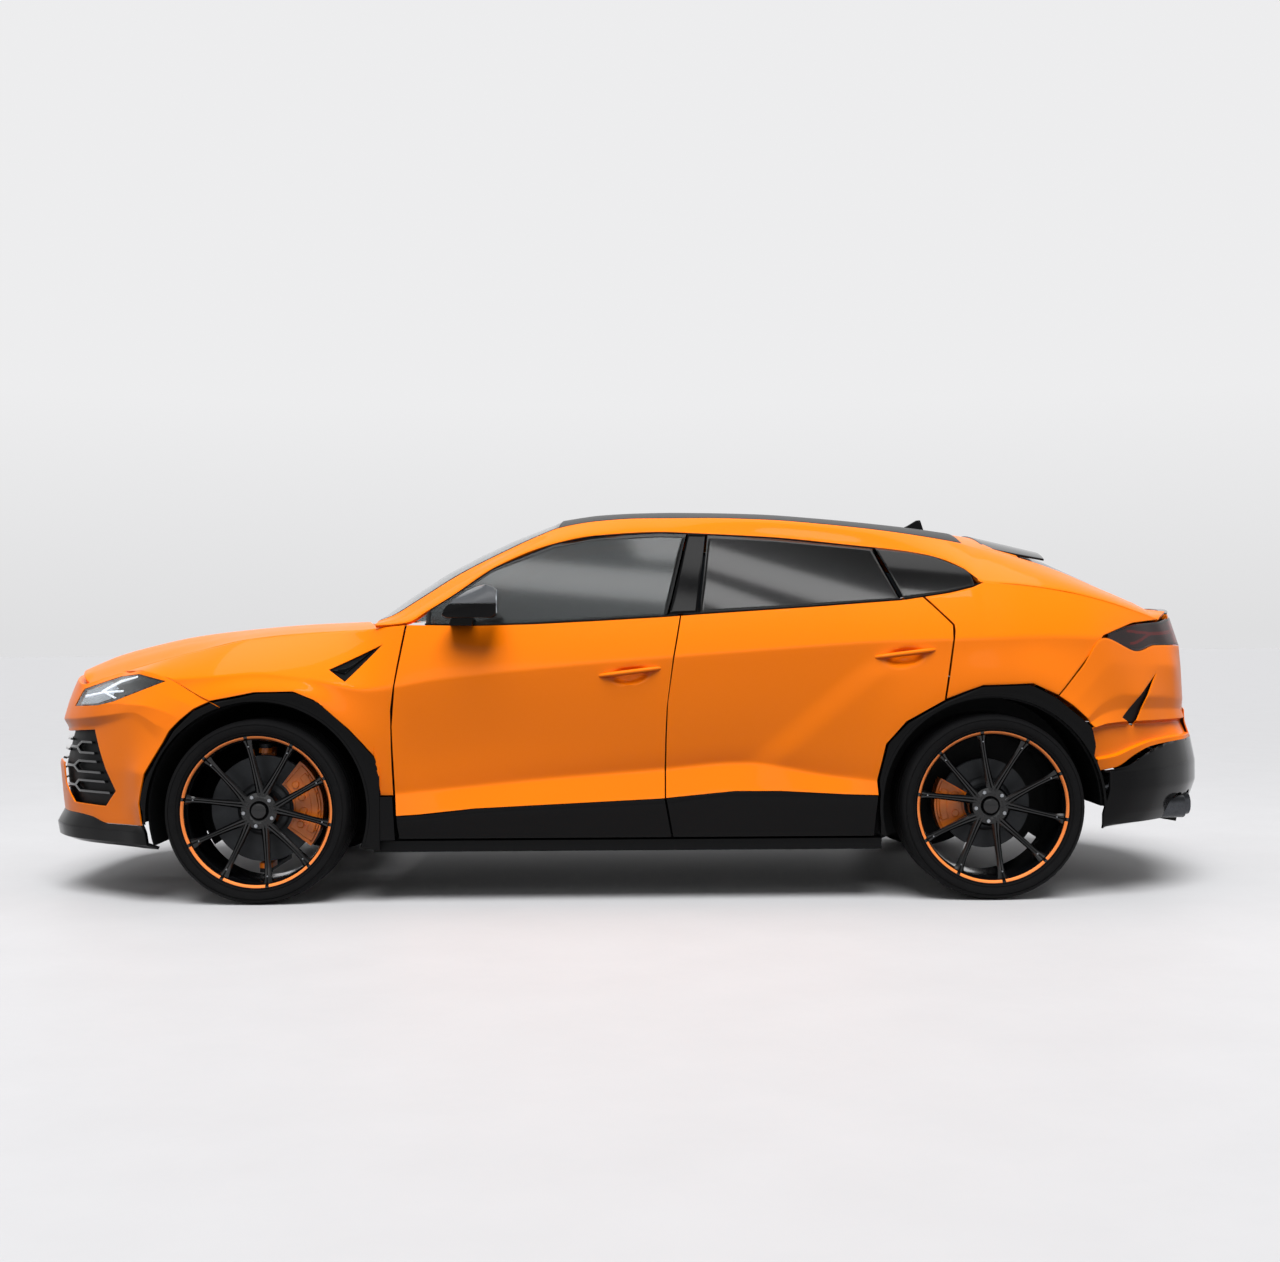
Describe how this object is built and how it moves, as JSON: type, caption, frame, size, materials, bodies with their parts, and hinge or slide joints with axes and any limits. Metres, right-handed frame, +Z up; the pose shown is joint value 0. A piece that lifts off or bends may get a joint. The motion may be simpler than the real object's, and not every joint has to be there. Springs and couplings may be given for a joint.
{
  "type": "suv",
  "caption": "Low-roofed sports SUV with opening doors, bonnet and tailgate, steered front wheels, multi-spoke rims and a hollow cabin.",
  "frame": {"origin": "on the ground under the middle of the car, halfway along its length", "axes": "-X towards the nose, +Z up, +Y towards the right-hand side of the car"},
  "size_m": [5.113, 2.1674, 1.6492],
  "materials": {
    "body_paint": "gloss",
    "gloss_black": "gloss",
    "tinted_glass": "gloss",
    "cabin_plastic": "matte",
    "seat_leather": "satin",
    "floor_steel": "matte",
    "lamp_clear": "gloss",
    "lamp_red": "gloss",
    "exhaust_steel": "satin",
    "engine_alloy": "satin",
    "caliper_paint": "gloss",
    "tyre_rubber": "matte",
    "wheel_black": "gloss"
  },
  "bodies": {
    "body": {"floor_pan": "floor_steel", "side_frame_left": "body_paint", "side_frame_right": "body_paint", "roof_panel": "gloss_black", "fixed_glass": "tinted_glass", "cowl": "cabin_plastic", "front_wings": "body_paint", "front_bumper": "body_paint", "front_grille": "gloss_black", "headlamps": "lamp_clear", "rear_bumper": "body_paint", "rear_diffuser": "gloss_black", "exhaust_tips": "exhaust_steel", "tail_lamps": "lamp_red", "body_cladding": "gloss_black", "dashboard": "cabin_plastic", "steering_wheel": "cabin_plastic", "seats": "seat_leather", "engine_block": "engine_alloy", "subframes": "floor_steel", "rear_calipers": "caliper_paint"},
    "bonnet": {"bonnet": "body_paint"},
    "tailgate": {"tailgate": "body_paint", "tailgate_glass": "tinted_glass", "roof_spoiler": "gloss_black"},
    "door_front_left": {"door_front_left": "body_paint", "glass_front_left": "tinted_glass", "cladding_front_left": "gloss_black", "mirror_left": "gloss_black"},
    "wheel_front_left": {"tyre_front_left": "tyre_rubber", "wheel_front_left": "wheel_black"},
    "door_front_right": {"door_front_right": "body_paint", "glass_front_right": "tinted_glass", "cladding_front_right": "gloss_black", "mirror_right": "gloss_black"},
    "wheel_front_right": {"tyre_front_right": "tyre_rubber", "wheel_front_right": "wheel_black"},
    "door_rear_left": {"door_rear_left": "body_paint", "glass_rear_left": "tinted_glass", "cladding_rear_left": "gloss_black"},
    "wheel_rear_left": {"tyre_rear_left": "tyre_rubber", "wheel_rear_left": "wheel_black"},
    "door_rear_right": {"door_rear_right": "body_paint", "glass_rear_right": "tinted_glass", "cladding_rear_right": "gloss_black"},
    "wheel_rear_right": {"tyre_rear_right": "tyre_rubber", "wheel_rear_right": "wheel_black"},
    "knuckle_left": {"knuckle_left": "caliper_paint"},
    "knuckle_right": {"knuckle_right": "caliper_paint"}
  },
  "joints": [
    {"name": "bonnet_hinge", "type": "hinge", "parent": "body", "child": "bonnet", "pos_m": [-1.055, 0, 1.165], "axis": [0, 1, 0], "range_deg": [0, 55]},
    {"name": "tailgate_hinge", "type": "hinge", "parent": "body", "child": "tailgate", "pos_m": [1.44, 0, 1.553], "axis": [0, -1, 0], "range_deg": [0, 80]},
    {"name": "door_front_left_hinge", "type": "hinge", "parent": "body", "child": "door_front_left", "pos_m": [-0.975, -0.988, 0.7], "axis": [0, 0, -1], "range_deg": [0, 68]},
    {"name": "door_rear_left_hinge", "type": "hinge", "parent": "body", "child": "door_rear_left", "pos_m": [0.142, -0.988, 0.7], "axis": [0, 0, -1], "range_deg": [0, 72]},
    {"name": "door_front_right_hinge", "type": "hinge", "parent": "body", "child": "door_front_right", "pos_m": [-0.975, 0.988, 0.7], "axis": [0, 0, 1], "range_deg": [0, 68]},
    {"name": "door_rear_right_hinge", "type": "hinge", "parent": "body", "child": "door_rear_right", "pos_m": [0.142, 0.988, 0.7], "axis": [0, 0, 1], "range_deg": [0, 72]},
    {"name": "steer_left", "type": "hinge", "parent": "body", "child": "knuckle_left", "pos_m": [-1.5255, -0.8, 0.378], "axis": [0, 0, 1], "range_deg": [-33, 33]},
    {"name": "steer_right", "type": "hinge", "parent": "body", "child": "knuckle_right", "pos_m": [-1.5255, 0.8, 0.378], "axis": [0, 0, 1], "range_deg": [-33, 33]},
    {"name": "wheel_front_left_spin", "type": "hinge", "parent": "knuckle_left", "child": "wheel_front_left", "pos_m": [-1.5255, -0.8475, 0.378], "axis": [0, 1, 0], "continuous": true},
    {"name": "wheel_front_right_spin", "type": "hinge", "parent": "knuckle_right", "child": "wheel_front_right", "pos_m": [-1.5255, 0.8475, 0.378], "axis": [0, 1, 0], "continuous": true},
    {"name": "wheel_rear_left_spin", "type": "hinge", "parent": "body", "child": "wheel_rear_left", "pos_m": [1.4775, -0.836, 0.378], "axis": [0, 1, 0], "continuous": true},
    {"name": "wheel_rear_right_spin", "type": "hinge", "parent": "body", "child": "wheel_rear_right", "pos_m": [1.4775, 0.836, 0.378], "axis": [0, 1, 0], "continuous": true}
  ],
  "couplings": [
    {"joint": "steer_right", "follows": "steer_left", "ratio": 1}
  ]
}
